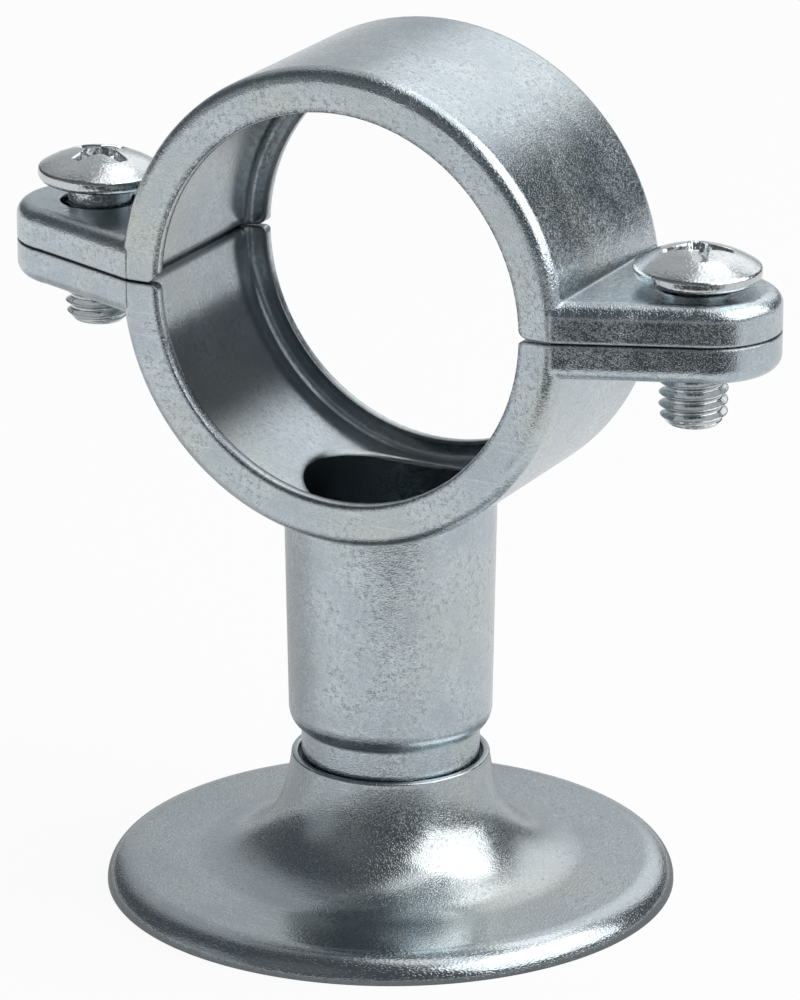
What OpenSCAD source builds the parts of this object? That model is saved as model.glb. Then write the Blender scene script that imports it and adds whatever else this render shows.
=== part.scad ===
// Pipe support clamp: a two-half ring on a hollow stem, with a loose trumpet foot and two ear screws.
// Millimetres, +Z up, the pipe runs along Y, the origin is the middle of the footprint.

/* [Ring] */
// Bore between the lips, the pipe's own seat
bore_d = 34; // [26:0.5:50]
// Length of the ring along the pipe
ring_width = 20.7; // [19:0.1:40]
// Wall of the ring at the lips
ring_wall = 3.8; // [2.8:0.1:8]
// Height of the pipe's axis over the wall or floor
axis_height = 54.3; // [46:0.1:120]
// Rounding of the ring's outer rims
ring_round = 1.3; // [0.3:0.1:1.5]
// Rounding of the bore's two rims
bore_round = 0.3; // [0.1:0.05:0.5]
// Length of each lip along the pipe
lip_length = 1.1; // [0.8:0.1:3]
// Depth of the channel between the lips
channel_depth = 1.7; // [0.4:0.1:2]
// Gap between the halves where they meet the bore
split_gap = 0.2; // [0.1:0.02:1.5]
// Rounding of the cap's corner at the split
cap_corner = 1.1; // [0.3:0.1:1.5]
// Rounding of the body's corner at the split
body_corner = 0.6; // [0.3:0.1:1.5]
// How far the cap stands back from the split behind the lips
cap_relief = 0.3; // [0.1:0.05:0.6]

/* [Ears] */
// Distance of the ear's round end from the ring's outside
ear_reach = 8.7; // [8:0.1:16]
// Metal left round the screw at the ear's end
ear_land = 3.3; // [2:0.1:6]
// How far the screw stands inside the middle of the ear's round end
ear_shift = 1.1; // [0:0.1:1.4]
// Thickness of the cap's ear
cap_ear_t = 3.4; // [2.4:0.1:8]
// Thickness of the body's ear
body_ear_t = 3.3; // [2.4:0.1:8]
// Rounding of the cap ear's upper edge
cap_ear_round = 1.3; // [0.3:0.1:1.5]
// Rounding of the body ear's lower edge
body_ear_round = 1.3; // [0.3:0.1:1.8]
// Small rounding of the ear's edge at the split
ear_seam = 0.2; // [0.1:0.05:0.4]

/* [Screws] */
// Outside diameter of the screw's thread
screw_d = 5.8; // [3:0.1:8]
// Length of the shank under the head
screw_length = 12.5; // [9:0.5:30]
// Space left under the left screw's head
head_gap_left = 1.8; // [0:0.1:4]
// Space left under the right screw's head
head_gap_right = 0.7; // [0:0.1:4]
// Clearance of the screw in the cap's ear, on the radius
cap_clearance = 0.5; // [0.2:0.05:1]
// Play of the thread in the body's ear, on the radius
thread_play = 0.05; // [0.02:0.01:0.2]

/* [Stem] */
// Radius of the stem at its shoulder
stem_r = 8.8; // [7.5:0.1:10]
// Growth of the stem's radius up to the ring
stem_draft = 0.35; // [0:0.05:0.6]
// Height of the shoulder over the wall or floor
shoulder_z = 14.2; // [12:0.1:22]
// Rounding of the shoulder
shoulder_round = 1.7; // [0.6:0.1:2.4]
// Step from the stem in to the spigot
shoulder_step = 1.05; // [0.6:0.05:2]
// Wall of the hollow stem
stem_wall = 1.3; // [1:0.1:3]
// Radius of the fixing hole up through the spigot
fixing_r = 4.2; // [2:0.1:5]
// Thickness of the floor over the shoulder that a fixing head sits on
floor_t = 4.8; // [2:0.1:8]

/* [Foot] */
// Outside radius of the foot
foot_r = 24.75; // [20:0.05:50]
// Space between the collar's rim and the stem's shoulder
collar_gap = 2.4; // [0.5:0.1:3]
// Play of the collar round the spigot, on the radius
collar_play = 0.45; // [0.1:0.05:1]
// Sweep radius between the collar and the disc
trumpet_r = 7.0; // [4:0.1:7.6]
// Height of the disc's top where the sweep ends
disc_z = 2.3; // [1.6:0.1:4]
// Straight side of the rim under its rounding
rim_side = 0.3; // [0.1:0.1:0.8]
// Thickness of the drawn sheet
sheet_t = 0.75; // [0.5:0.05:1]

/* [Hidden] */
$fn = 96;
far = 200;
bite = 0.4;
ear_inset = 0.08;
ear_under = 0.03;
bore_r = bore_d / 2;
ring_r = bore_r + ring_wall;
channel_r = bore_r + channel_depth;
half_w = ring_width / 2;
ear_end_r = screw_d / 2 + ear_land;
ear_x = ring_r + ear_reach;
screw_x = ear_x - ear_shift;
root_x = ring_r - ring_round / 2;
root_y = half_w;
ear_dx = ear_x - root_x;
flank = atan2(root_y, ear_dx) - asin(ear_end_r / norm([ear_dx, root_y]));
touch_x = ear_x + ear_end_r * sin(flank);
stem_top_r = stem_r + stem_draft;
spigot_r = stem_r - shoulder_step;
well_r = stem_r - stem_wall;
well_floor = shoulder_z + floor_t;
head_r = screw_d * 0.93;
head_h = screw_d * 0.48;
head_low = screw_d * 0.11;
head_side = screw_d * 0.015;
head_up = screw_d * 0.12;
brim_r = head_r - head_up * (1 - cos(50));
brim_z = head_low + head_side + head_up * sin(50);
dome_h = head_h - brim_z;
dome_r = (brim_r * brim_r + dome_h * dome_h) / (2 * dome_h);
slot_w = screw_d * 0.2;
slot_depth = screw_d * 0.24;
slot_length = head_r * 1.25;
collar_r = spigot_r + collar_play + sheet_t;
collar_z = shoulder_z - collar_gap;
rim_round = disc_z - rim_side;
sweep_x = collar_r + trumpet_r;
sweep_z = disc_z + trumpet_r;

// Outer corner to take off a section so that its edge is round
module round_corner(r) {
    difference() {
        translate([-r, -r]) square([r + bite, r + bite]);
        translate([-r, -r]) circle(r);
    }
}

// The ring's outer section, along the pipe in the second direction
module ring_section() {
    difference() {
        translate([bore_r - 2, -half_w]) square([ring_wall + 2, ring_width]);
        translate([ring_r, half_w]) round_corner(ring_round);
        translate([ring_r, -half_w]) mirror([0, 1]) round_corner(ring_round);
    }
}

// What the pipe and the hollow channel behind the lips take out of the ring
module bore_section() {
    lip_y = half_w - lip_length;
    cove = channel_depth * 0.3;
    translate([0, -half_w - 1]) square([bore_r, ring_width + 2]);
    difference() {
        translate([0, -lip_y]) square([channel_r, 2 * lip_y]);
        translate([channel_r, lip_y]) round_corner(cove);
        translate([channel_r, -lip_y]) mirror([0, 1]) round_corner(cove);
    }
    translate([bore_r, half_w]) mirror([1, 0]) round_corner(bore_round);
    translate([bore_r, -half_w]) mirror([1, 0]) mirror([0, 1]) round_corner(bore_round);
}

// One section turned about the pipe's axis
module about_pipe() {
    rotate([90, 0, 0]) rotate_extrude() children();
}

// Section of an ear's edge: flat at the split, round outside
module ear_edge(t, edge) {
    difference() {
        translate([-far / 4, 0]) square([far / 4, t]);
        translate([0, t]) round_corner(edge);
        mirror([0, 1]) round_corner(ear_seam);
    }
}

// One flank of the wedge, its edge running from the ring to the round end
module ear_flank(t, edge) {
    translate([ear_x, 0, 0])
        rotate([0, 0, -flank])
            translate([-far / 2, ear_end_r - ear_inset, 0])
                rotate([0, 0, 90]) rotate([90, 0, 0])
                    linear_extrude(height = far / 2 + 2 * ear_end_r) ear_edge(t, edge);
}

// An ear on the +X side, its flat face on the split
module ear(t, edge) {
    intersection() {
        ear_flank(t, edge);
        mirror([0, 1, 0]) ear_flank(t, edge);
        translate([root_x - 0.2, ear_under - half_w, -1])
            cube([touch_x - root_x + 0.2, ring_width - 2 * ear_under, t + 2]);
    }
    translate([ear_x, 0, 0])
        rotate_extrude()
            intersection() {
                translate([ear_end_r, 0]) ear_edge(t, edge);
                square([far, t]);
            }
}

// Both ears
module ears(t, edge) {
    ear(t, edge);
    mirror([1, 0, 0]) ear(t, edge);
}

// The corner along the split, rounded where it meets a bore of the given radius
module split_corner(r, bore, length) {
    z0 = split_gap / 2;
    zc = z0 + r;
    xc = sqrt(bore * bore - zc * zc) + r;
    rotate([90, 0, 0])
        linear_extrude(height = length, center = true)
            difference() {
                translate([xc - r - 1, -1]) square([r + 1, zc - r * 0.2 + 1]);
                translate([xc, zc]) circle(r);
            }
}

// One half of the ring over its split, with ears of the given thickness
module half_clamp(t, edge, lip_corner, channel_corner, relief) {
    inner_length = ring_width - 2 * lip_length - channel_depth;
    difference() {
        union() {
            intersection() {
                about_pipe() ring_section();
                translate([-far / 2, -far / 2, split_gap / 2]) cube(far);
            }
            ears(t, edge);
        }
        about_pipe() bore_section();
        for (side = [0, 1])
            mirror([side, 0, 0]) {
                split_corner(lip_corner, bore_r, ring_width + 2);
                if (channel_corner > 0)
                    split_corner(channel_corner, channel_r, inner_length);
                if (relief > 0)
                    translate([channel_r - 1, -inner_length / 2, -1])
                        cube([root_x - channel_r + 0.6, inner_length, 1 + split_gap / 2 + relief]);
            }
    }
}

// A screw's hole in both ears
module screw_holes(r) {
    for (x = [-screw_x, screw_x])
        translate([x, 0, -1]) cylinder(r = r, h = cap_ear_t + body_ear_t + 2);
}

// Upper half of the ring with its two ears
module clamp_cap() {
    color("#b9bec2")
        translate([0, 0, axis_height])
            difference() {
                half_clamp(cap_ear_t, cap_ear_round, cap_corner, 0, cap_relief);
                screw_holes(screw_d / 2 + cap_clearance);
            }
}

// Stem with its rounded shoulder and its spigot, turned about Z
module stem_solid() {
    rotate_extrude() {
        difference() {
            polygon([
                [0, shoulder_z], [stem_r, shoulder_z], [stem_top_r, axis_height - ring_r],
                [stem_top_r, axis_height - channel_r], [0, axis_height - channel_r]
            ]);
            translate([stem_r, shoulder_z]) mirror([0, 1]) round_corner(shoulder_round);
        }
        square([spigot_r, shoulder_z + shoulder_round]);
    }
}

// Lower half of the ring, cast in one with the stem and the spigot
module clamp_body() {
    color("#b4babe")
        difference() {
            union() {
                translate([0, 0, axis_height])
                    mirror([0, 0, 1])
                        difference() {
                            half_clamp(body_ear_t, body_ear_round, body_corner, body_corner, 0);
                            screw_holes(screw_d / 2 + thread_play);
                        }
                difference() {
                    stem_solid();
                    translate([0, 0, axis_height]) about_pipe() bore_section();
                }
            }
            translate([0, 0, well_floor]) cylinder(r = well_r, h = axis_height - well_floor);
            translate([0, 0, -1]) cylinder(r = fixing_r, h = well_floor + 2);
        }
}

// Half section filled in under the foot's skin, set in by t
module foot_fill(t, extra) {
    translate([0, -extra]) square([collar_r - t, collar_z + 2 * extra]);
    difference() {
        translate([0, -extra]) square([foot_r - t, disc_z - t + extra]);
        translate([foot_r - t, disc_z - t]) round_corner(rim_round - t);
    }
    difference() {
        translate([collar_r - t - bite, disc_z - t - bite]) square(trumpet_r + t + bite);
        translate([sweep_x, sweep_z]) circle(trumpet_r + t);
    }
}

// Loose trumpet foot, open under and round the spigot
module base_rosette() {
    color("#a9b0b4")
        rotate_extrude()
            difference() {
                foot_fill(0, 0);
                foot_fill(sheet_t, 1);
                translate([collar_r, collar_z]) round_corner(sheet_t * 0.5);
            }
}

// Section of the head: a rounded brim under a low dome
module head_section() {
    difference() {
        intersection() {
            square([head_r, head_h]);
            translate([0, head_h - dome_r]) circle(dome_r);
        }
        translate([head_r, head_low + head_side + head_up]) round_corner(head_up);
        translate([head_r, 0]) mirror([0, 1]) round_corner(head_low);
    }
}

// A pan-head screw standing in the ears, its cross recess turned by a given angle
module screw(gap, turn) {
    translate([0, 0, axis_height + cap_ear_t + gap])
        difference() {
            union() {
                translate([0, 0, -screw_length]) cylinder(r = screw_d / 2, h = screw_length + head_low);
                rotate_extrude() head_section();
            }
            rotate([0, 0, turn]) {
                translate([-slot_length / 2, -slot_w / 2, head_h - slot_depth])
                    cube([slot_length, slot_w, far]);
                translate([-slot_w / 2, -slot_length / 2, head_h - slot_depth])
                    cube([slot_w, slot_length, far]);
            }
        }
}

// Screw in the left pair of ears
module clamp_screw_left() {
    color("#c6cacc") translate([-screw_x, 0, 0]) screw(head_gap_left, 12);
}

// Screw in the right pair of ears
module clamp_screw_right() {
    color("#c6cacc") translate([screw_x, 0, 0]) screw(head_gap_right, 30);
}

clamp_cap();
clamp_body();
base_rosette();
clamp_screw_left();
clamp_screw_right();
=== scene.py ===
"""Pipe support clamp: a split ring on a stem, with its foot cover and its two ear screws."""

from functools import partial

import bpy
import numpy as np
from mathutils import Matrix


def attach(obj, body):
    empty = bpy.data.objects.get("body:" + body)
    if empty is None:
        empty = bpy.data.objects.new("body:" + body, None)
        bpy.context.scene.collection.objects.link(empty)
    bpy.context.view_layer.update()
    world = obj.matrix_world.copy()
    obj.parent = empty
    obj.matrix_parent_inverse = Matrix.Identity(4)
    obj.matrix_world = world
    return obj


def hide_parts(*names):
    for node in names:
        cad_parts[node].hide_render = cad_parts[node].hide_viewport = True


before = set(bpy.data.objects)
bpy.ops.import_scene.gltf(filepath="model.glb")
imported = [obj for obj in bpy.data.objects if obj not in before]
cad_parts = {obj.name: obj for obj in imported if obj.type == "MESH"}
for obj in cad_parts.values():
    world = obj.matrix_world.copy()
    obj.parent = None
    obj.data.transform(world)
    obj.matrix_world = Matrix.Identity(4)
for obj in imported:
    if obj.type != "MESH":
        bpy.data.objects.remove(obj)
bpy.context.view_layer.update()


# Foot cover
# A trumpet drawn from thin steel sheet and zinc plated. Its collar slips over the spigot with play,
# its rim stands on the wall or floor, and nothing but the clamp's own pull holds it.
MM = 0.001
FOOT_R = 24.75 * MM
FOOT_DISC_Z = 2.3 * MM
FOOT_RIM_SIDE = 0.1 * MM
FOOT_RIM_WIDTH = 2.6 * MM
FOOT_COLLAR_R = 8.65 * MM
FOOT_COLLAR_Z = 11.8 * MM
FOOT_COLLAR_EDGE = 0.22 * MM
FOOT_FLARE_DROP = 1.5 * FOOT_COLLAR_EDGE
FOOT_FLARE_R = 21.0 * MM
FOOT_FLARE_TOP = 7.0
FOOT_FLARE_END = 17.0
FOOT_SHEET = 0.65 * MM
FOOT_WAVE = 0.012 * MM
FOOT_BROAD_LOBES = 3
FOOT_NARROW_LOBES = 7
FOOT_LOBE_START = 0.7
FOOT_LOBE_TWIST = 120.0
FOOT_SIDES = 192


def arc(centre, radius, start, end, count):
    """Points of an arc: centre + radius * (cos a, sin a), a in degrees; a pair of radii makes it oval."""
    a = np.radians(np.linspace(start, end, count))
    wide, tall = np.broadcast_to(radius, 2)
    return np.stack([centre[0] + wide * np.cos(a), centre[1] + tall * np.sin(a)], -1)


def straight(a, b, count):
    """Points from a towards b, evenly spread, without b itself."""
    t = np.linspace(0, 1, count, endpoint=False)[:, None]
    return np.asarray(a) * (1 - t) + np.asarray(b) * t


def turned(profile, count, wave):
    """Grid of a profile (radius, height) carried round Z: (r cos u, r sin u, z).

    A wave pulls the radius in by the mean of two sines, a few broad lobes and some narrower ones that
    twist with the height, as press tools leave them.
    """
    u = np.linspace(0, 2 * np.pi, count, endpoint=False)
    z = np.broadcast_to(profile[:, 1:], (len(profile), count))
    broad = np.sin(FOOT_BROAD_LOBES * u + FOOT_LOBE_START)
    narrow = np.sin(FOOT_NARROW_LOBES * u + FOOT_LOBE_TWIST * z)
    r = profile[:, :1] - wave * (1 + 0.5 * broad + 0.5 * narrow)
    return np.stack([r * np.cos(u), r * np.sin(u), z], -1)


def grid_faces(rows, cols, close_rows):
    """Quads of a grid that closes along its columns, and along its rows too if asked."""
    i = np.arange(rows if close_rows else rows - 1)[:, None]
    j = np.arange(cols)[None, :]
    a = i * cols + j
    b = i * cols + (j + 1) % cols
    c = (i + 1) % rows * cols + (j + 1) % cols
    d = (i + 1) % rows * cols + j
    return np.stack([a, b, c, d], -1).reshape(-1, 4)


def piece(name, points, faces, material):
    """A smooth mesh object at the origin, from vertices and quads."""
    mesh = bpy.data.meshes.new(name)
    mesh.from_pydata(points.reshape(-1, 3), [], faces)
    mesh.polygons.foreach_set("use_smooth", np.ones(len(faces), bool))
    mesh.materials.append(material)
    mesh.update()
    made = bpy.data.objects.new(name, mesh)
    bpy.context.scene.collection.objects.link(made)
    return made


def foot_skin(t):
    """Profile of the foot's skin set in by t: rim, disc, sweep and flare, from the floor upwards.

    The sweep turns out of the disc up to the flare's end angle off upright, and the flare goes on from
    there in a wider arc to its top angle, just below the collar's edge. An arc that runs into the next
    stretch stops a degree or two short of it, so that no two points fall together.
    """
    rim = FOOT_DISC_Z - FOOT_RIM_SIDE
    top, end = np.radians(FOOT_FLARE_TOP), np.radians(FOOT_FLARE_END)
    flare_x = FOOT_COLLAR_R + FOOT_FLARE_R * np.cos(top)
    flare_z = FOOT_COLLAR_Z - FOOT_FLARE_DROP + FOOT_FLARE_R * np.sin(top)
    sweep_r = (flare_z - FOOT_FLARE_R * np.sin(end) - FOOT_DISC_Z) / (1 - np.sin(end))
    sweep_x = flare_x - (FOOT_FLARE_R - sweep_r) * np.cos(end)
    side = straight((FOOT_R - t, 0), (FOOT_R - t, FOOT_RIM_SIDE), 3)
    round_rim = arc((FOOT_R - FOOT_RIM_WIDTH, FOOT_RIM_SIDE), (FOOT_RIM_WIDTH - t, rim - t), 0, 88, 20)
    disc = straight((FOOT_R - FOOT_RIM_WIDTH, FOOT_DISC_Z - t), (sweep_x, FOOT_DISC_Z - t), 14)
    sweep = arc((sweep_x, FOOT_DISC_Z + sweep_r), sweep_r + t, 270, 181 + FOOT_FLARE_END, 34)
    flare = arc((flare_x, flare_z), FOOT_FLARE_R + t, 180 + FOOT_FLARE_END, 180 + FOOT_FLARE_TOP, 16)
    return np.concatenate([side, round_rim, disc, sweep, flare])


def spread(tree, value, low, high, to_low=0.0, to_high=1.0, curve="LINEAR"):
    """A node's value carried over from one range to another, and held past its ends."""
    made = tree.nodes.new("ShaderNodeMapRange")
    made.interpolation_type = curve
    for socket, number in (("From Min", low), ("From Max", high), ("To Min", to_low), ("To Max", to_high)):
        made.inputs[socket].default_value = number
    tree.links.new(value, made.inputs["Value"])
    return made.outputs["Result"]


def worked(tree, operation, *values):
    """A Math node over other nodes' values and plain numbers."""
    made = tree.nodes.new("ShaderNodeMath")
    made.operation = operation
    for socket, value in zip(made.inputs, values):
        if isinstance(value, float):
            socket.default_value = value
        else:
            tree.links.new(value, socket)
    return made.outputs["Value"]


def pointed(tree, operation, first, second):
    """A Vector Math node over a node's vector and another one, or a plain vector."""
    made = tree.nodes.new("ShaderNodeVectorMath")
    made.operation = operation
    tree.links.new(first, made.inputs[0])
    if isinstance(second, bpy.types.NodeSocket):
        tree.links.new(second, made.inputs[1])
    else:
        made.inputs[1].default_value = second
    return made


def blended(tree, share, first, second, blend="MIX"):
    """A Mix node over two colours, each a node's or a plain one."""
    made = tree.nodes.new("ShaderNodeMix")
    made.data_type = "RGBA"
    made.blend_type = blend
    for socket, colour in (("A", first), ("B", second)):
        if isinstance(colour, tuple):
            made.inputs[socket].default_value = (*colour, 1)
        else:
            tree.links.new(colour, made.inputs[socket])
    if isinstance(share, float):
        made.inputs["Factor"].default_value = share
    else:
        tree.links.new(share, made.inputs["Factor"])
    return made.outputs["Result"]


def skin_group():
    """Node group: the skin of plated metal, over the places that a material gives it.

    Height is fine grain, plus small raised specks and slow waves, plus twisted flecks, less ragged pits
    and thin veins where the flecks cross their middle, all three in patches, less long scratches. Tone is
    the light that grain and flecks keep back, Marks the veins and pits, Cloud the plating's slow patches.
    """
    tree = bpy.data.node_groups.new("plated_skin", "ShaderNodeTree")
    face = tree.interface
    face.new_socket("Place", in_out="INPUT", socket_type="NodeSocketVector")
    for name in ("Grain Scale", "Fleck Scale", "Wave Scale", "Pit Scale", "Cloud Scale", "Scratch Scale",
                 "Speck", "Fleck", "Wave", "Pitting", "Veining", "Scratching"):
        face.new_socket(name, in_out="INPUT", socket_type="NodeSocketFloat")
    for name in ("Height", "Tone", "Grain", "Marks", "Scratches", "Cloud"):
        face.new_socket(name, in_out="OUTPUT", socket_type="NodeSocketFloat")
    node, link = tree.nodes.new, tree.links.new
    given, given_out = node("NodeGroupInput"), node("NodeGroupOutput")
    math, step = partial(worked, tree), partial(spread, tree, curve="SMOOTHSTEP")

    def noise(scale, detail, roughness, twist=0.0, place=given.outputs["Place"]):
        texture = node("ShaderNodeTexNoise")
        texture.inputs["Detail"].default_value = detail
        texture.inputs["Roughness"].default_value = roughness
        texture.inputs["Distortion"].default_value = twist
        link(place, texture.inputs["Vector"])
        link(given.outputs[scale], texture.inputs["Scale"])
        return texture.outputs["Fac"]

    def scratches(turn):
        lay = node("ShaderNodeMapping")
        lay.inputs["Rotation"].default_value = turn
        lay.inputs["Scale"].default_value = (0.06, 1.0, 1.0)
        link(given.outputs["Place"], lay.inputs["Vector"])
        return step(noise("Scratch Scale", 1.0, 0.5, 0.2, lay.outputs["Vector"]), 0.66, 0.72)

    grain = noise("Grain Scale", 0.0, 0.5)
    fleck = noise("Fleck Scale", 2.0, 0.5, 2.4)
    wave = noise("Wave Scale", 2.0, 0.5)
    ragged = noise("Pit Scale", 2.0, 0.55)
    cloud = noise("Cloud Scale", 5.0, 0.6)
    patchy = step(cloud, 0.43, 0.56, 0.2, 1.0)
    specks = math("MULTIPLY", step(grain, 0.56, 0.70), given.outputs["Speck"])
    pits = math("MULTIPLY", step(ragged, 0.57, 0.68), given.outputs["Pitting"])
    pits = math("MULTIPLY", pits, patchy)
    veins = step(math("ABSOLUTE", math("SUBTRACT", fleck, 0.5)), 0.004, 0.034, 1.0, 0.0)
    veins = math("MULTIPLY", math("MULTIPLY", veins, step(ragged, 0.46, 0.54)), given.outputs["Veining"])
    veins = math("MULTIPLY", veins, patchy)
    lines = math("MAXIMUM", scratches((0.4, 0.9, 0.3)), scratches((1.1, -0.5, 1.4)))
    lines = math("MULTIPLY", lines, given.outputs["Scratching"])
    height = math("MULTIPLY_ADD", wave, given.outputs["Wave"], math("ADD", grain, specks))
    height = math("MULTIPLY_ADD", math("MULTIPLY", fleck, patchy), given.outputs["Fleck"], height)
    height = math("MULTIPLY_ADD", pits, -0.7, height)
    height = math("MULTIPLY_ADD", veins, -0.5, height)
    link(math("MULTIPLY_ADD", lines, -0.4, height), given_out.inputs["Height"])
    link(math("MULTIPLY_ADD", fleck, 0.4, math("MULTIPLY", grain, 0.6)), given_out.inputs["Tone"])
    link(grain, given_out.inputs["Grain"])
    link(math("MAXIMUM", pits, veins), given_out.inputs["Marks"])
    link(lines, given_out.inputs["Scratches"])
    link(cloud, given_out.inputs["Cloud"])
    return tree


plated_skin = skin_group()


def zinc(name, bright, dull, stain, rough, skin, bump, contrast, shade_reach, drawn=0.0, edge=0.0, bore=None):
    """A zinc plated metal: two greys mixed by slow clouds, a faint stain, pits, and grain in its gloss.

    rough is the roughness in the grain's hollows and on its specks, skin the plated_skin values, bump the
    grain's depth in metres, contrast how far the grain's tone swings about the plain colour, and shade_reach
    the reach of the painted shade in corners and seams. Drawn sheet has its skin pulled round Z, as if all
    of it lay at that radius. A casting's corners are worn soft over an edge width. Its bore, if it has one,
    is given by the height of its axis, its radius, its lip's radius and half its length. In there the
    corners are as soft as its cove, the relief keeps only a share, the colour is painted darker as shade,
    down to a share, and the roughness has a floor. A painted line of shade lies as far as the seam's half
    width from the plane that splits the bore. The lip's edge has a painted dark reflection on its inner
    side, and a ragged painted dark line on its face.
    """
    made = bpy.data.materials.new(name)
    made.use_nodes = True
    node, link = made.node_tree.nodes.new, made.node_tree.links.new
    mapped, paired = partial(spread, made.node_tree), partial(worked, made.node_tree)
    vector, mixed = partial(pointed, made.node_tree), partial(blended, made.node_tree)
    shader = made.node_tree.nodes["Principled BSDF"]
    shader.inputs["Metallic"].default_value = 1.0
    coat = node("ShaderNodeGroup")
    coat.node_tree = plated_skin
    for socket, value in skin.items():
        coat.inputs[socket].default_value = value

    place = node("ShaderNodeTexCoord")
    laid = place.outputs["Object"]
    if drawn:
        level = vector("MULTIPLY", laid, (1, 1, 0)).outputs["Vector"]
        off = vector("LENGTH", level, level).outputs["Value"]
        round_z = vector("MULTIPLY", vector("NORMALIZE", level, level).outputs["Vector"], (drawn, drawn, 0))
        apart = node("ShaderNodeSeparateXYZ")
        link(laid, apart.inputs["Vector"])
        stand = node("ShaderNodeCombineXYZ")
        link(paired("SUBTRACT", off, apart.outputs["Z"]), stand.inputs["Z"])
        laid = vector("ADD", round_z.outputs["Vector"], stand.outputs["Vector"]).outputs["Vector"]
    link(laid, coat.inputs["Place"])
    patch = node("ShaderNodeTexNoise")
    patch.inputs["Scale"].default_value = 95.0
    patch.inputs["Detail"].default_value = 5.0
    link(place.outputs["Object"], patch.inputs["Vector"])
    colour = mixed(mapped(coat.outputs["Cloud"], 0.36, 0.62, 0.0, 1.0), dull, bright)
    colour = mixed(mapped(patch.outputs["Fac"], 0.48, 0.70, 0.0, 0.75), colour, stain)
    tone = mapped(coat.outputs["Tone"], 0.3, 0.7, 1 - contrast, 1 + contrast)
    colour = mixed(1.0, colour, tone, "MULTIPLY")
    colour = mixed(mapped(coat.outputs["Marks"], 0.0, 1.0, 0.0, 0.35), colour, (0.20, 0.215, 0.23))
    colour = mixed(mapped(coat.outputs["Scratches"], 0.0, 1.0, 0.0, 0.5), colour, (0.80, 0.82, 0.83))
    # Painted shade: the colour turns nearly black where ambient occlusion finds a crevice, in corners and
    # seams.
    crevice_shade = node("ShaderNodeAmbientOcclusion")
    crevice_shade.samples = 6
    crevice_shade.inputs["Distance"].default_value = shade_reach
    colour = mixed(mapped(crevice_shade.outputs["AO"], 0.12, 0.42, 0.9, 0.0), colour, (0.07, 0.075, 0.08))
    relief = node("ShaderNodeBump")
    relief.inputs["Strength"].default_value = 1.0
    relief.inputs["Distance"].default_value = bump
    if edge:
        worn = node("ShaderNodeBevel")
        worn.samples = 6
        worn.inputs["Radius"].default_value = edge
        link(worn.outputs["Normal"], relief.inputs["Normal"])
    gloss = mapped(coat.outputs["Grain"], 0.3, 0.7, *rough)
    if bore:
        level = vector("MULTIPLY", place.outputs["Object"], (1, 0, 1)).outputs["Vector"]
        off = vector("DISTANCE", level, (0, 0, bore["axis"])).outputs["Value"]
        across = vector("MULTIPLY", place.outputs["Object"], (0, 1, 0)).outputs["Vector"]
        depth = vector("LENGTH", across, (0, 0, 0)).outputs["Value"]
        fade = 0.2 * MM
        beyond = mapped(off, bore["radius"], bore["radius"] + fade, 0.0, 1.0)
        past_end = mapped(depth, bore["half"], bore["half"] + fade, 0.0, 1.0)
        out_of = paired("MAXIMUM", beyond, past_end)
        link(mapped(out_of, 0.0, 1.0, bore["cove"], edge), worn.inputs["Radius"])
        link(mapped(out_of, 0.0, 1.0, bore["relief"], 1.0), relief.inputs["Strength"])
        # Painted shade: inside the bore the colour is darkened to the given share of itself.
        colour = mixed(1.0, colour, mapped(out_of, 0.0, 1.0, bore["colour"], 1.0), "MULTIPLY")
        gloss = paired("MAXIMUM", gloss, mapped(out_of, 0.0, 1.0, bore["rough"], 0.0))
        # Painted shade: a nearly black line along the plane where cap and body meet, where their gap lies in
        # shade.
        upright = vector("MULTIPLY", place.outputs["Object"], (0, 0, 1)).outputs["Vector"]
        split = vector("DISTANCE", upright, (0, 0, bore["axis"])).outputs["Value"]
        seam_shade = mapped(split, bore["seam"] * 0.5, bore["seam"], 0.8, 0.0)
        colour = mixed(seam_shade, colour, (0.03, 0.032, 0.035))
        # Painted dark reflection: a ragged dark line on the lip's face and a dark band on its inner side,
        # where the rounded edge shows the dark room.
        lip_shade_in, lip_shade_out = bore["lip"] + 0.15 * MM, bore["lip"] + 0.5 * MM
        inside = mapped(off, bore["lip"], bore["lip"] + 0.1 * MM, 0.0, 1.0)
        outside = mapped(off, lip_shade_in, lip_shade_out, 1.0, 0.0)
        ragged = mapped(coat.outputs["Tone"], 0.42, 0.54, 0.0, 0.8)
        lip_edge_shade = paired("MINIMUM", paired("MINIMUM", inside, outside), ragged)
        near_lip = mapped(off, lip_shade_in, lip_shade_out, 0.75, 0.0)
        within = mapped(depth, bore["half"] + 0.4 * MM, bore["half"] + 0.8 * MM, 1.0, 0.0)
        lip_edge_shade = paired("MAXIMUM", lip_edge_shade, paired("MULTIPLY", near_lip, within))
        colour = mixed(lip_edge_shade, colour, (0.12, 0.13, 0.14))
    link(colour, shader.inputs["Base Color"])
    link(gloss, shader.inputs["Roughness"])
    link(coat.outputs["Height"], relief.inputs["Height"])
    link(relief.outputs["Normal"], shader.inputs["Normal"])
    return made


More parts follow.
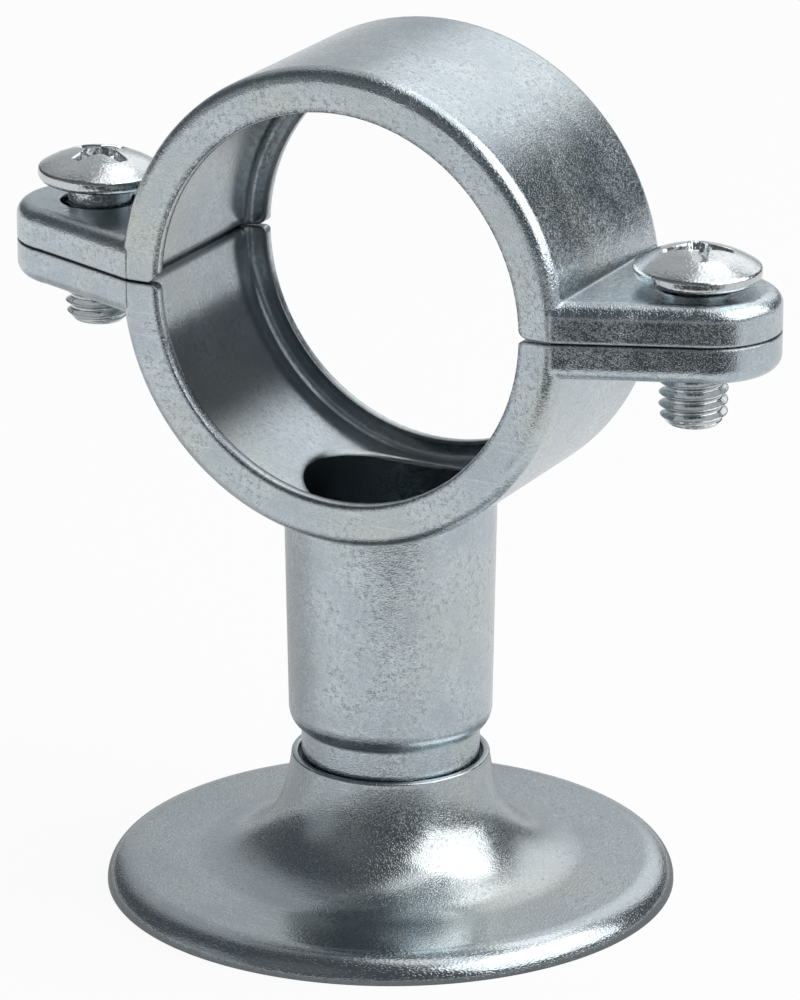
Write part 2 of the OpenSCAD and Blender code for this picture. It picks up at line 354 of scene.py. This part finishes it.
foot_zinc = zinc(
    "drawn_zinc_plate",
    bright=(0.48, 0.53, 0.56),
    dull=(0.42, 0.47, 0.50),
    stain=(0.49, 0.51, 0.49),
    rough=(0.20, 0.12),
    skin={"Grain Scale": 6500.0, "Speck": 0.9, "Fleck Scale": 1300.0, "Fleck": 0.7, "Wave Scale": 260.0,
          "Wave": 1.4, "Pit Scale": 2200.0, "Pitting": 0.9, "Cloud Scale": 160.0, "Veining": 0.5,
          "Scratch Scale": 2200.0, "Scratching": 0.3},
    bump=0.008 * MM,
    contrast=0.08,
    shade_reach=0.6 * MM,
    drawn=14.0 * MM,
)
edge_r, edge_z = FOOT_COLLAR_R - FOOT_COLLAR_EDGE, FOOT_COLLAR_Z - FOOT_COLLAR_EDGE
bore_r = FOOT_COLLAR_R - FOOT_SHEET + FOOT_COLLAR_EDGE
foot_profile = np.concatenate([
    foot_skin(0.0),
    arc((edge_r, edge_z), FOOT_COLLAR_EDGE, 0, 90, 7),
    arc((bore_r, edge_z), FOOT_COLLAR_EDGE, 90, 180, 7),
    foot_skin(FOOT_SHEET)[::-1],
])
foot = piece(
    "foot_cover",
    turned(foot_profile, FOOT_SIDES, FOOT_WAVE),
    grid_faces(len(foot_profile), FOOT_SIDES, True),
    foot_zinc,
)
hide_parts("base_rosette")
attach(foot, "root")


# Clamp body and cap
# Two zinc plated castings: the lower half ring in one piece with its hollow stem and spigot, and the
# upper half ring. They close on the pipe and touch at their ears. The solids carry over as they are.
cast_zinc = zinc(
    "cast_zinc_plate",
    bright=(0.585, 0.655, 0.70),
    dull=(0.475, 0.54, 0.585),
    stain=(0.585, 0.615, 0.575),
    rough=(0.19, 0.11),
    skin={"Grain Scale": 8000.0, "Speck": 0.6, "Fleck Scale": 1500.0, "Fleck": 2.6, "Wave Scale": 420.0,
          "Wave": 2.0, "Pit Scale": 2300.0, "Pitting": 0.9, "Cloud Scale": 220.0, "Veining": 1.2,
          "Scratch Scale": 2600.0, "Scratching": 0.5},
    bump=0.0095 * MM,
    contrast=0.12,
    shade_reach=0.5 * MM,
    edge=0.4 * MM,
    bore={"axis": 54.3 * MM, "radius": 18.9 * MM, "lip": 17.0 * MM, "half": 9.1 * MM, "seam": 0.17 * MM,
          "cove": 0.9 * MM, "relief": 0.12, "colour": 0.73, "rough": 0.17},
)
for casting in ("clamp_body", "clamp_cap"):
    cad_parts[casting].material_slots[0].material = cast_zinc


# Ear screws
# Bright zinc plated steel machine screws with a low domed head and a cross recess. Each drops through
# the cap's ear and threads into the body's ear, and its head stands a little off the casting.
SCREW_X = 28.4 * MM
SCREW_R = 2.9 * MM
SCREW_LENGTH = 12.5 * MM
SCREW_PITCH = 1.0 * MM
SCREW_SIDES = 192
SHANK_ROWS = 330
THREAD_DEPTH = 0.55 * MM
THREAD_SHARPNESS = 1.6
THREAD_START = 1.9 * MM
THREAD_FULL = 2.9 * MM
NECK_R = 2.78 * MM
TIP_BEVEL = 0.75 * MM
TIP_SLOPE = 0.9
HEAD_FILLET = 0.1 * MM
HEAD_R = 5.394 * MM
HEAD_TOP = 2.784 * MM
HEAD_TUCK = 0.638 * MM
HEAD_BRIM = 0.95 * MM
HEAD_CURL = 0.36 * MM
HEAD_CREASE = 55.0
EAR_TOP = 57.7 * MM
SEAM_DROP = 3.4 * MM
CROSS_REACH = 2.95 * MM
CROSS_WIDTH = 0.86 * MM
CROSS_FLARE = 0.75 * MM
CROSS_DEPTH = 1.1 * MM
CROSS_SINK = 0.35 * MM
CROSS_SLOPE = 0.13 * MM
CROSS_RISE_FROM = CROSS_REACH - 0.6 * MM
CROSS_RISE_TO = CROSS_REACH + 0.1 * MM


def smooth_step(x, low, high):
    """0 below low, 1 above high, and a soft S between them: t * t * (3 - 2 t)."""
    t = np.clip((x - low) / (high - low), 0, 1)
    return t * t * (3 - 2 * t)


def threaded_shank(u):
    """Radius and height of the shank over the angle u, from its flat tip up to the head at height 0.

    At a depth d the radius is SCREW_R less the thread's depth times 1 - crest. The crest is a soft S up
    and down again over the phase d / pitch + u / turn, to a power that makes it narrow and the root wide.
    The thread fades into a plain neck under the head, and the tip is bevelled.
    """
    d = np.linspace(SCREW_LENGTH, HEAD_FILLET, SHANK_ROWS)[:, None]
    phase = (d / SCREW_PITCH + u / (2 * np.pi)) % 1.0
    crest = smooth_step(0.5 - np.abs(phase - 0.5), 0.0, 0.5) ** THREAD_SHARPNESS
    threaded = smooth_step(d, THREAD_START, THREAD_FULL)
    cut = THREAD_DEPTH * (1 - crest) * threaded
    neck = (SCREW_R - NECK_R) * (1 - threaded)
    bevel = SCREW_R - TIP_BEVEL + TIP_SLOPE * (SCREW_LENGTH - d)
    r = np.minimum(SCREW_R - cut - neck, bevel)
    flat = r[:1] * np.array([[0.33], [0.66]])
    z = -np.concatenate([np.full((2, 1), SCREW_LENGTH), d])
    return np.concatenate([flat, r]), np.broadcast_to(z, (len(z), len(u)))


def domed_head(u, turn):
    """Radius and height of the head over the angle u, from the neck at height 0 out, up and over.

    Where a point lies in the cross, its height drops to the recess floor, which rises along each wing.
    The wings flare together into a wide middle.
    """
    brim_r = HEAD_R - HEAD_CURL * (1 - np.cos(np.radians(HEAD_CREASE)))
    brim_z = HEAD_BRIM + HEAD_CURL * np.sin(np.radians(HEAD_CREASE))
    rise = HEAD_TOP - brim_z
    dome_r = (brim_r**2 + rise**2) / (2 * rise)
    reach = np.degrees(np.arcsin(brim_r / dome_r))
    profile = np.concatenate([
        arc((NECK_R + HEAD_FILLET, -HEAD_FILLET), HEAD_FILLET, 180, 90, 5)[1:],
        straight((NECK_R + HEAD_FILLET, 0.0), (HEAD_R - HEAD_TUCK, 0.0), 5)[1:],
        arc((HEAD_R - HEAD_TUCK, HEAD_TUCK), HEAD_TUCK, -90, 0, 9),
        arc((HEAD_R - HEAD_CURL, HEAD_BRIM), HEAD_CURL, 0, HEAD_CREASE, 8),
        arc((0.0, HEAD_TOP - dome_r), dome_r, 90.5 - reach, 89.8, 110),
    ])
    r, z = profile[:, :1], profile[:, 1:]
    a, b = r * np.cos(u - turn), r * np.sin(u - turn)
    wing = np.minimum(np.abs(a), np.abs(b))
    along = np.maximum(np.abs(a), np.abs(b))
    half = CROSS_WIDTH / 2 + CROSS_FLARE * np.clip(1 - along / CROSS_REACH, 0, 1) ** 2
    inside = 1 - smooth_step(wing, half - CROSS_SLOPE, half + CROSS_SLOPE)
    inside *= 1 - smooth_step(along, CROSS_RISE_FROM, CROSS_RISE_TO)
    inside *= z > brim_z
    floor_z = HEAD_TOP - CROSS_DEPTH - CROSS_SINK * (1 - along / CROSS_REACH)
    z = z * (1 - inside) + np.minimum(floor_z, z) * inside
    return np.broadcast_to(r, z.shape), z


screw_zinc = zinc(
    "bright_zinc_plate",
    bright=(0.69, 0.715, 0.725),
    dull=(0.59, 0.62, 0.635),
    stain=(0.68, 0.68, 0.65),
    rough=(0.09, 0.18),
    skin={"Grain Scale": 4200.0, "Speck": 0.4, "Fleck Scale": 1500.0, "Fleck": 0.8, "Wave Scale": 600.0,
          "Wave": 1.8, "Pit Scale": 2400.0, "Pitting": 0.8, "Cloud Scale": 300.0, "Veining": 0.2,
          "Scratch Scale": 3000.0, "Scratching": 0.4},
    bump=0.010 * MM,
    contrast=0.06,
    shade_reach=0.4 * MM,
)


def leaning(points, at, angle):
    """Points turned about Y round a point by an angle: (x cos + z sin, y, z cos - x sin)."""
    x, y, z = (points - at).T
    turned_x = x * np.cos(angle) + z * np.sin(angle)
    turned_z = z * np.cos(angle) - x * np.sin(angle)
    return np.stack([turned_x, y, turned_z], -1) + at


screw_u = np.linspace(0, 2 * np.pi, SCREW_SIDES, endpoint=False)
ring = np.arange(SCREW_SIDES)
for name, node, side, gap, turn, lean in (
    ("ear_screw_left", "clamp_screw_left", -1, 1.8 * MM, -0.31, 0.028),
    ("ear_screw_right", "clamp_screw_right", 1, 0.7 * MM, 0.5, 0.017),
):
    shank_r, shank_z = threaded_shank(screw_u)
    head_r, head_z = domed_head(screw_u, turn)
    r = np.concatenate([shank_r, head_r])
    z = np.concatenate([shank_z, head_z]) + EAR_TOP + gap
    points = np.stack([side * SCREW_X + r * np.cos(screw_u), r * np.sin(screw_u), z], -1).reshape(-1, 3)
    points = leaning(points, np.array([side * SCREW_X, 0, EAR_TOP - SEAM_DROP]), lean)
    tip, crown = ring[::-1], ring + len(points) - SCREW_SIDES
    screw = piece(name, points, [*grid_faces(len(r), SCREW_SIDES, False), tip, crown], screw_zinc)
    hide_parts(node)
    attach(screw, "root")


# Floor
# A plain pale table top. Seen straight or in the metal it is nearly white, and it keeps the shadow.
FLOOR_HALF = 2.0
FLOOR_SHARE = 0.92
FLOOR_SHARE_IN_METAL = 0.97
FLOOR_GREY = (0.86, 0.86, 0.86, 1)
FLOOR_ROUGHNESS = 0.9

floor_white = bpy.data.materials.new("floor_white")
floor_white.use_nodes = True
node, link = floor_white.node_tree.nodes.new, floor_white.node_tree.links.new
matt = floor_white.node_tree.nodes["Principled BSDF"]
matt.inputs["Base Color"].default_value = FLOOR_GREY
matt.inputs["Roughness"].default_value = FLOOR_ROUGHNESS
floor_math = partial(worked, floor_white.node_tree)
ray = node("ShaderNodeLightPath")
spot = node("ShaderNodeTexCoord")


def floor_step(middle, low, high, to_low, to_high):
    """A value over the floor by the distance from a middle: to_low within low, to_high past high."""
    far = pointed(floor_white.node_tree, "DISTANCE", spot.outputs["Object"], middle).outputs["Value"]
    return spread(floor_white.node_tree, far, low, high, to_low, to_high, "SMOOTHSTEP")


# In the metal the floor's glow is painted darker: painted shade under the foot's edge, a painted dark patch
# on the camera's side and a painted shadow of the clamp.
foot_edge_shade = floor_step(middle=(0, 0, 0), low=0.027, high=0.044, to_low=0.28, to_high=0.84)
camera_side_shade = floor_step(middle=(0.16, -0.27, 0), low=0.18, high=0.25, to_low=0.05, to_high=1.0)
by_shade = floor_step(middle=(-0.075, 0.015, 0), low=0.03, high=0.085, to_low=0.52, to_high=1.0)
in_metal = floor_math("MINIMUM", floor_math("MINIMUM", foot_edge_shade, camera_side_shade), by_shade)
glow = node("ShaderNodeEmission")
link(floor_math("MAXIMUM", in_metal, ray.outputs["Is Camera Ray"]), glow.inputs["Strength"])
seen = floor_math("MAXIMUM", ray.outputs["Is Glossy Ray"], ray.outputs["Is Transmission Ray"])
seen = floor_math("MULTIPLY", seen, FLOOR_SHARE_IN_METAL)
seen = floor_math("MAXIMUM", seen, floor_math("MULTIPLY", ray.outputs["Is Camera Ray"], FLOOR_SHARE))
both = node("ShaderNodeMixShader")
link(seen, both.inputs["Fac"])
link(matt.outputs["BSDF"], both.inputs[1])
link(glow.outputs["Emission"], both.inputs[2])
link(both.outputs["Shader"], floor_white.node_tree.nodes["Material Output"].inputs["Surface"])
corner = np.array([[-1, -1, 0], [1, -1, 0], [1, 1, 0], [-1, 1, 0]]) * FLOOR_HALF
floor = piece("floor", corner, [[0, 1, 2, 3]], floor_white)


# Camera
# A long lens a little above the clamp and to its right, as the photograph was taken.
CAMERA_TURN = np.radians(27.2)
CAMERA_RISE = np.radians(18.3)
CAMERA_FAR = 0.5266
CAMERA_AIM = np.array([0, 0, 0.040])
CAMERA_FOCAL_PX = 6158.0
CAMERA_MIDDLE_PX = (390.7, 440.0)
FRAME_PX = (800.0, 1000.0)
SENSOR = 36.0


def placed(name, data, axes, at):
    """An object of the scene with its three axes along the given directions and its origin at a point."""
    made = bpy.data.objects.new(name, data)
    turned_to = np.eye(4)
    turned_to[:3, :3] = np.stack(axes, -1)
    turned_to[:3, 3] = at
    made.matrix_world = Matrix(turned_to)
    bpy.context.scene.collection.objects.link(made)
    return made


back = np.array([np.sin(CAMERA_TURN) * np.cos(CAMERA_RISE),
                 -np.cos(CAMERA_TURN) * np.cos(CAMERA_RISE),
                 np.sin(CAMERA_RISE)])
right = np.array([np.cos(CAMERA_TURN), np.sin(CAMERA_TURN), 0.0])
above = np.cross(back, right)
eye = CAMERA_AIM + back * CAMERA_FAR
lens = bpy.data.cameras.new("camera")
lens.sensor_width = SENSOR
lens.lens = CAMERA_FOCAL_PX * SENSOR / FRAME_PX[1]
lens.shift_x = (FRAME_PX[0] / 2 - CAMERA_MIDDLE_PX[0]) / FRAME_PX[1]
lens.shift_y = (CAMERA_MIDDLE_PX[1] - FRAME_PX[1] / 2) / FRAME_PX[1]
lens.clip_start = 0.01
lens.clip_end = 20.0
bpy.context.scene.camera = placed("camera", lens, (right, above, back), eye)


# Light
# One bright soft box high on the right, in a dim studio that the metal shows: dark in front, with pale
# panels behind the clamp, on its left and overhead.
def towards(turn, rise):
    """Direction from the clamp, in degrees: turn from the front (-Y) to the right, rise above level."""
    a, e = np.radians(turn), np.radians(rise)
    return np.array([np.sin(a) * np.cos(e), -np.cos(a) * np.cos(e), np.sin(e)])


def soft_box(name, turn, rise, far, size, power, colour):
    """A rectangular area lamp at a distance along a direction, facing the clamp."""
    lamp = bpy.data.lights.new(name, "AREA")
    lamp.shape = "RECTANGLE"
    lamp.size, lamp.size_y = size
    lamp.energy = power
    lamp.color = colour
    way = towards(turn, rise)
    across = np.cross((0, 0, 1), way)
    across /= np.linalg.norm(across)
    up = np.cross(way, across)
    return placed(name, lamp, (across, up, way), CAMERA_AIM + way * far)


soft_box("soft_box_right", turn=97, rise=36, far=0.9, size=(1.2, 0.85), power=7.2, colour=(1.0, 0.99, 0.975))

studio = bpy.data.worlds.new("studio")
studio.use_nodes = True
ground = studio.node_tree.nodes["Background"]
way = studio.node_tree.nodes.new("ShaderNodeTexCoord")


def pale_side(middle, inner, outer, colour, rest):
    """Lays a pale part of the room about a direction: full within the inner angle, none past the outer."""
    facing = pointed(studio.node_tree, "DOT_PRODUCT", way.outputs["Generated"], middle).outputs["Value"]
    least, full = np.cos(np.radians((outer, inner)))
    share = spread(studio.node_tree, facing, least, full, curve="SMOOTHSTEP")
    return blended(studio.node_tree, share, rest, colour)


ROOM_DIM = (0.105, 0.115, 0.125)
room = pale_side(towards(0, -90), 80, 90, (0.70, 0.71, 0.72), ROOM_DIM)
for turn, rise, inner, outer, colour in (
    (-155, 45, 18, 46, (0.50, 0.51, 0.52)),
    (-152, 8, 8, 26, (0.54, 0.565, 0.58)),
    (-50, 6, 8, 26, (0.34, 0.35, 0.36)),
    (-15, 30, 8, 28, (0.17, 0.18, 0.19)),
    (124, 67, 18, 32, (1.45, 1.46, 1.47)),
    (-176, 30, 5, 25, (1.22, 1.23, 1.24)),
    (-177, 57, 6, 13, (2.00, 2.00, 2.00)),
):
    room = pale_side(towards(turn, rise), inner, outer, colour, room)
studio.node_tree.links.new(room, ground.inputs["Color"])
ground.inputs["Strength"].default_value = 1.0
bpy.context.scene.world = studio
bpy.context.scene.view_settings.view_transform = "Standard"
